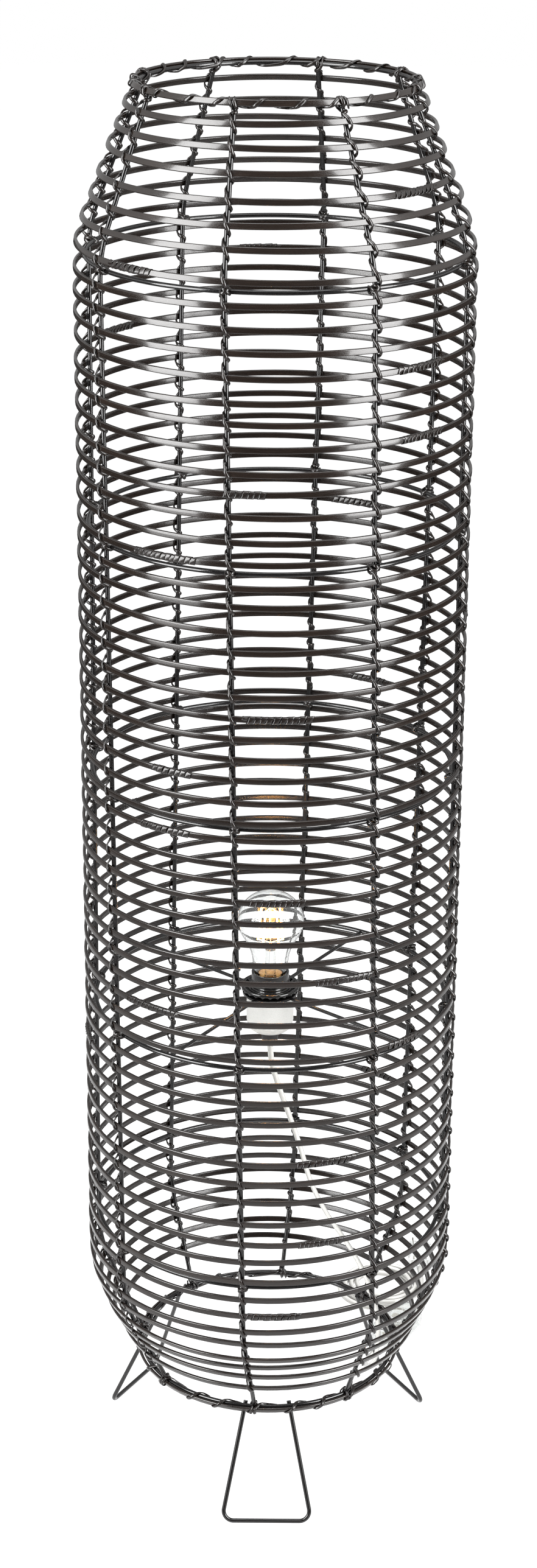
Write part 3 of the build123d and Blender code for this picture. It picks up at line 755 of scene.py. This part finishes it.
# black phenolic moulding: hard gloss with a faint ripple
blackPhenolic = speckled("mouldedBlackPhenolic", "#131212", "#201f1e", 3.0, 0.16, 0.1, IOR=1.6,
                         Coat_Weight=0.6)
# glazed steatite insert: warm white, soft shine
steatite = speckled("glazedSteatite", "#b9b2a4", "#c9c3b6", 1.5, 0.35, 0.1, IOR=1.55)
# white PBT moulding: the bare cup and sleeve, even white with a soft shine
whitePlastic = speckled("mouldedWhitePlastic", "#c9c8c4", "#d4d3cf", 4.0, 0.38, 0.05, IOR=1.5)
# coated paper sleeve round the cup, bare white with a faint fibre
whitePaper = speckled("coatedPaper", "#cfcfcc", "#dadad7", 0.8, 0.5, 0.1, IOR=1.45)
# matt black nylon of the cord grip
mattBlack = speckled("mattBlackNylon", "#262526", "#313030", 0.6, 0.5, 0.3, IOR=1.53)
# cream cement in the cap's mouth, lit warm by the filaments
creamCement = speckled("creamCement", "#b39a63", "#d3bf8d", 0.7, 0.55, 0.4, IOR=1.5)
# rolled brass of the cap, shell and contacts: yellow metal with drawn lines
rolledBrass = speckled("rolledBrass", "#b08a4c", "#cba468", 1.2, 0.28, 0.15, Metallic=1.0)
# vitrite, the black glass under the cap
blackVitrite = speckled("blackVitrite", "#101014", "#1b1b20", 2.0, 0.12, 0.05, IOR=1.6)
# clear plastic of the floor switch and the plug: it lets the floor through, with bright edges
clearAbs = speckled("clearPlastic", "#f3f5f4", "#fafbfa", 6.0, 0.12, 0.03, IOR=1.4, Transmission_Weight=0.9)
# nickel plate on the plug's blades
nickelPlate = speckled("nickelPlate", "#c4c1ba", "#d2cfc9", 1.0, 0.2, 0.08, Metallic=1.0)


def makeLampGlass(name, roughness):
    # clear soda-lime glass, blown thin: bright rim lines, clear middle
    material, tree, shader = startMaterial(name)
    ripple = objectNoise(tree, 60.0, 1.0)
    bumpFrom(tree, shader, ripple, 0.05, 0.0005)
    tint = rampNode(tree, ripple, ((0.2, "#f8faf9"), (0.8, "#ffffff")))
    tree.links.new(tint, shader.inputs["Base Color"])
    setSockets(shader, Roughness=roughness, IOR=1.5, Transmission_Weight=1.0)
    return material


def makeFilament():
    # coated LED filament: warm white-yellow glow, mottled in small patches along it
    material, tree, shader = startMaterial("coatedLedFilament")
    glow = rampNode(tree, objectNoise(tree, 900.0, 1.0), ((0.2, "#ffa648"), (0.8, "#ffc37a")))
    tree.links.new(glow, shader.inputs["Emission Color"])
    tree.links.new(glow, shader.inputs["Base Color"])
    setSockets(shader, Roughness=0.5, Emission_Strength=22.0)
    return material


bulbGlass = makeLampGlass("blownLampGlass", 0.0)
stemGlass = makeLampGlass("pressedStemGlass", 0.05)
ledFilament = makeFilament()

nodeMaterials = {
    "holder_cup": whitePlastic, "holder_sleeve": whitePlastic, "holder_skirt": blackPhenolic,
    "shade_ring": blackPhenolic, "cord_grip": blackPhenolic, "holder_insert": steatite,
    "switch_module": steatite, "screw_shell": rolledBrass, "centre_contact": rolledBrass,
    "bulb_contact": rolledBrass, "bulb_cap": rolledBrass, "bulb_insulator": blackVitrite,
    "bulb_stem": stemGlass, "bulb_glass": bulbGlass, "bulb_filaments": ledFilament,
    "switch_base": clearAbs, "switch_cover": clearAbs, "switch_button": clearAbs,
    "plug_body": clearAbs, "plug_blades": nickelPlate,
}
for name, node in nodes.items():
    material = nodeMaterials.get(name, enamelledWire)
    node.data.materials.clear()
    node.data.materials.append(material)
print("materials given")


# ---- bulb glass and shade ring, spun from their outlines; heights count from the carrier's middle

def spinOutline(bm, outline, seat, steps):
    # an outline of radius and height pairs in mm, spun round the lamp's axis; ends on the axis are closed
    verts = [bm.verts.new((radius * mm, 0, seat + height * mm)) for radius, height in outline]
    edges = [bm.edges.new(pair) for pair in zip(verts, verts[1:])]
    bmesh.ops.spin(bm, geom=verts + edges, cent=(0, 0, 0), axis=(0, 0, 1), dvec=(0, 0, 0),
                   angle=2 * math.pi, steps=steps, use_merge=True)
    bmesh.ops.remove_doubles(bm, verts=bm.verts, dist=1e-6)


bulb = {
    "wall": 0.7,
    "steps": 96,
    "neck": ((11.7, 0.5), (11.7, 17.0), (13.2, 19.4), (15.2, 22.0), (15.8, 28.0), (16.4, 34.0)),
    "globe": ((18.0, 41.0), (21.8, 50.2), (25.6, 56.2), (28.2, 61.0), (29.6, 65.8), (30.0, 70.0),
              (29.6, 74.4), (28.2, 79.4), (25.6, 84.6), (21.6, 89.6), (16.0, 93.6), (8.6, 96.2), (0.0, 97.0)),
}


def buildBulbGlass(seat):
    # one closed wall: up the outside from the sealed foot, and down the inside
    outer = splineLine([Vector((r, 0, z)) for r, z in bulb["neck"] + bulb["globe"]], resolution=4)
    outer = [(point.x, point.z) for point in outer]
    outer[-1] = (0.0, bulb["globe"][-1][1])
    inner = []
    for before, here, after in zip(outer, outer[1:], outer[2:]):
        along = Vector((after[0] - before[0], after[1] - before[1])).normalized()
        inner.append((here[0] - along.y * bulb["wall"], here[1] + along.x * bulb["wall"]))
    bm = bmesh.new()
    foot = outer[0][1]
    spinOutline(bm, [(0.0, foot), *outer], seat, bulb["steps"])
    top = outer[-1][1] - bulb["wall"]
    innerLine = [(0.0, foot + bulb["wall"]), (inner[0][0], foot + bulb["wall"]), *inner[1:], (0.0, top)]
    cavity = bmesh.new()
    spinOutline(cavity, innerLine, seat, bulb["steps"])
    bmesh.ops.recalc_face_normals(cavity, faces=cavity.faces)
    bmesh.ops.reverse_faces(cavity, faces=cavity.faces)
    bmesh.ops.recalc_face_normals(bm, faces=bm.faces)
    cavityMesh = bpy.data.meshes.new("bulbCavity")
    cavity.to_mesh(cavityMesh)
    cavity.free()
    bm.from_mesh(cavityMesh)
    bpy.data.meshes.remove(cavityMesh)
    newPiece("bulbGlass", bm, bulbGlass, "bulb", ("bulb_glass",), outwards=False)


shade = {
    "steps": 96,
    "slots": 24,
    "slotDepth": 1.6,
    "knurl": 1.0,
    # from the bore's top, over the collar, the slotted dish and the rolled lip, and back below
    "outline": ((17.9, 5.6), (18.3, 5.8), (19.9, 5.8), (20.2, 5.5), (20.3, 4.4), (20.8, 3.9), (23.6, 6.3),
                (24.3, 7.2), (25.2, 7.5), (26.1, 7.1), (26.5, 6.2), (26.4, 5.2), (25.7, 4.4), (24.6, 3.9),
                (22.6, 2.7), (20.9, 1.5), (20.3, 1.3), (17.9, 1.3)),
    "dishInside": 20.8,
    "dishOutside": 23.6,
}


def buildShadeRing(seat):
    bm = bmesh.new()
    spinOutline(bm, [*shade["outline"], shade["outline"][0]], seat, shade["steps"])
    perSlot = shade["steps"] // shade["slots"]
    slotFaces = []
    for face in bm.faces:
        middle = face.calc_center_median()
        reach = math.hypot(middle.x, middle.y) / mm
        step = int((math.atan2(middle.y, middle.x) / (2 * math.pi) + 1) * shade["steps"]) % perSlot
        inDish = shade["dishInside"] < reach < shade["dishOutside"] and middle.z - seat > 3.8 * mm
        if inDish and step < perSlot // 2:
            slotFaces.append(face)
    cut = bmesh.ops.extrude_face_region(bm, geom=slotFaces)
    lowered = [g for g in cut["geom"] if isinstance(g, bmesh.types.BMVert)]
    bmesh.ops.translate(bm, verts=lowered, vec=(0, 0, -shade["slotDepth"] * mm))
    bmesh.ops.delete(bm, geom=[f for f in slotFaces if f.is_valid], context="FACES")
    for vert in bm.verts:
        # the underside's knurls, moulded as a wave round the ring
        reach = math.hypot(vert.co.x, vert.co.y)
        height = (vert.co.z - seat) / mm
        if 21.5 * mm < reach < 25.9 * mm and height < 4.6:
            wave = math.cos(math.atan2(vert.co.y, vert.co.x) * shade["slots"])
            grow = 1 + wave * shade["knurl"] * mm / reach
            vert.co = (vert.co.x * grow, vert.co.y * grow, vert.co.z - wave * shade["knurl"] * mm * 0.5)
    ring = newPiece("shadeRing", bm, blackPhenolic, "shade_ring", ("shade_ring",))
    ring.modifiers.new("eased", "BEVEL").width = 0.00015
    ring.modifiers["eased"].segments = 2
    ring.modifiers.new("flatFaces", "WEIGHTED_NORMAL")


holder = {
    # the cup: down the outside from under the flange, round the foot, and up the inside
    "cup": ((20.85, -3.4), (20.85, -28.6), (20.4, -31.6), (18.9, -34.4), (16.4, -36.6), (13.2, -37.8),
            (10.0, -38.2), (5.2, -38.2), (5.2, -36.0), (12.6, -35.8), (16.6, -33.6), (18.5, -29.0),
            (18.6, -3.4)),
    "sleeve": ((20.95, -4.6), (21.2, -4.6), (21.2, -27.6), (20.95, -27.6)),
    "grip": ((3.1, -50.1), (6.3, -50.1), (7.0, -49.4), (7.5, -47.0), (7.7, -42.0), (7.7, -38.9), (7.3, -38.3),
             (3.1, -38.3)),
    # cream cement and the stem's flare, seen through the glass in the mouth of the cap
    "capFloor": ((4.2, 14.2), (7.0, 15.0), (10.6, 18.2), (10.6, 17.4), (7.0, 14.2), (4.2, 13.4)),
    "steps": 72,
}


def spunPiece(name, outline, seat, material, body, replaced=()):
    bm = bmesh.new()
    spinOutline(bm, [*outline, outline[0]], seat, holder["steps"])
    piece = newPiece(name, bm, material, body, replaced)
    bevel = piece.modifiers.new("eased", "BEVEL")
    bevel.width = 0.0002
    bevel.segments = 2
    piece.modifiers.new("flatFaces", "WEIGHTED_NORMAL")


holderSeat = sum(corner.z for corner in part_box("carrier_ring")) / 2
buildBulbGlass(holderSeat)
buildShadeRing(holderSeat)
spunPiece("holderCup", holder["cup"], holderSeat, whitePlastic, "basket", ("holder_cup",))
spunPiece("holderSleeve", holder["sleeve"], holderSeat, whitePaper, "basket",
          ("holder_sleeve",))
spunPiece("cordGrip", holder["grip"], holderSeat, mattBlack, "basket", ("cord_grip",))
spunPiece("capFloor", holder["capFloor"], holderSeat, creamCement, "bulb")
print("bulb, holder and shade ring made")

# ---- floor, world and lamps

studio = {
    "floorRadius": 9.0,
    "fill": 0.5,
    "floorGlow": 0.85,
    "floorShadow": 0.3,
    "mirroredSide": 0.9,
    "mirroredFront": 0.1,
    "mirroredBack": 0.35,
    "lamps": (
        # azimuth from the front toward the right, distance, width, low edge, high edge, radiance
        (-57.0, 1.6, 0.90, 0.25, 0.55, 2.0),
        (56.0, 1.6, 0.90, 0.25, 0.55, 2.0),
        (-57.0, 1.6, 0.90, 0.55, 2.60, 7.5),
        (56.0, 1.6, 0.90, 0.55, 2.60, 7.5),
    ),
    "topLamp": 20.0,
}

pureWhite = (1, 1, 1, 1)


def makeFloor():
    # plain pale floor: white to the eye, darker under the lamp where the light is kept off; to glossy rays it
    # shows a painted pool of light, brightest near the lamp and fading out towards 2.2 m
    material = bpy.data.materials.new("paperFloor")
    material.use_nodes = True
    tree = material.node_tree
    tree.nodes.clear()
    path = addNode(tree, "ShaderNodeLightPath")
    place = addNode(tree, "ShaderNodeTexCoord")
    length = addNode(tree, "ShaderNodeVectorMath", {"operation": "LENGTH"}, {0: place.outputs["Object"]})
    # painted light: in reflections the floor shows an emission that fades with distance from the lamp, standing
    # in for the lamps' pool of light on it
    paintedPoolFalloff = {"From Min": 0.3, "From Max": 2.2, "To Min": 1.0, "To Max": 0.05}
    paintedLightPool = addNode(tree, "ShaderNodeMapRange", paintedPoolFalloff,
                  {"Value": length.outputs["Value"]})
    lit = addNode(tree, "ShaderNodeBsdfDiffuse", {"Color": linear("#f4f3f1")})
    white = addNode(tree, "ShaderNodeEmission", {"Color": pureWhite, "Strength": studio["floorGlow"]})
    seen = mathNode(tree, "MAXIMUM", path.outputs["Is Camera Ray"], path.outputs["Is Transmission Ray"])
    mirrored = addNode(tree, "ShaderNodeEmission", {"Color": pureWhite}, {"Strength": paintedLightPool.outputs["Result"]})
    shadow = addNode(tree, "ShaderNodeBsdfDiffuse", {"Color": (studio["floorShadow"],) * 3 + (1,)})
    shaded = addNode(tree, "ShaderNodeAddShader", {}, {0: shadow.outputs[0], 1: white.outputs[0]})
    glossy = addNode(tree, "ShaderNodeMixShader", {},
                     {"Fac": path.outputs["Is Glossy Ray"], 1: lit.outputs[0], 2: mirrored.outputs[0]})
    both = addNode(tree, "ShaderNodeMixShader", {}, {"Fac": seen, 1: glossy.outputs[0], 2: shaded.outputs[0]})
    addNode(tree, "ShaderNodeOutputMaterial", {}, {"Surface": both.outputs[0]})
    bm = bmesh.new()
    bmesh.ops.create_circle(bm, cap_ends=True, segments=96, radius=studio["floorRadius"])
    mesh = bpy.data.meshes.new("floor")
    bm.to_mesh(mesh)
    bm.free()
    floor = bpy.data.objects.new("floor", mesh)
    mesh.materials.append(material)
    collection.objects.link(floor)


def makeWorld():
    world = bpy.data.worlds.new("studioWorld")
    world.use_nodes = True
    tree = world.node_tree
    tree.nodes.clear()
    path = addNode(tree, "ShaderNodeLightPath")
    seen = mathNode(tree, "MAXIMUM", path.outputs["Is Camera Ray"], path.outputs["Is Transmission Ray"])
    plain = addNode(tree, "ShaderNodeBackground", {"Color": pureWhite, "Strength": studio["fill"]})
    white = addNode(tree, "ShaderNodeBackground", {"Color": pureWhite, "Strength": 1.0})
    place = addNode(tree, "ShaderNodeTexCoord")
    split = addNode(tree, "ShaderNodeSeparateXYZ", {}, {0: place.outputs["Generated"]})
    depth = mathNode(tree, "ADD", mathNode(tree, "MULTIPLY", split.outputs["Y"], 0.5), 0.5)
    level = addNode(tree, "ShaderNodeValToRGB", {}, {"Fac": depth})
    stops = ((0.15, studio["mirroredFront"]), (0.45, studio["mirroredSide"]), (0.9, studio["mirroredBack"]))
    level.color_ramp.elements.new(0.5)
    for element, (position, value) in zip(level.color_ramp.elements, stops):
        element.position = position
        element.color = (value, value, value, 1)
    mirrored = addNode(tree, "ShaderNodeBackground", {"Strength": 1.0}, {"Color": level.outputs["Color"]})
    unseen = addNode(tree, "ShaderNodeMixShader", {},
                     {"Fac": path.outputs["Is Glossy Ray"], 1: plain.outputs[0], 2: mirrored.outputs[0]})
    both = addNode(tree, "ShaderNodeMixShader", {}, {"Fac": seen, 1: unseen.outputs[0], 2: white.outputs[0]})
    addNode(tree, "ShaderNodeOutputWorld", {}, {"Surface": both.outputs[0]})
    bpy.context.scene.world = world


def placeLamp(name, spot, aim, width, height, radiance):
    # an area lamp of plain white; its power comes from the radiance that its face shows
    data = bpy.data.lights.new(name, "AREA")
    data.shape = "RECTANGLE"
    data.size = width
    data.size_y = height
    data.energy = radiance * 4 * width * height
    lamp = bpy.data.objects.new(name, data)
    collection.objects.link(lamp)
    direction = Vector(aim) - Vector(spot)
    lamp.rotation_euler = direction.to_track_quat("-Z", "Y").to_euler()
    lamp.location = spot


makeFloor()
makeWorld()
for number, (azimuth, distance, width, low, high, radiance) in enumerate(studio["lamps"], 1):
    turn = math.radians(azimuth)
    middle = (low + high) / 2
    placeLamp(f"sideLamp{number}", (distance * math.sin(turn), -distance * math.cos(turn), middle),
              (0, 0, middle), width, high - low, radiance)
placeLamp("topLamp", (0.0, -0.3, 3.2), (0, 0, 0.6), 1.6, 1.6, studio["topLamp"] / 8)

view = bpy.context.scene.view_settings
view.view_transform = "Standard"
print("studio lit")
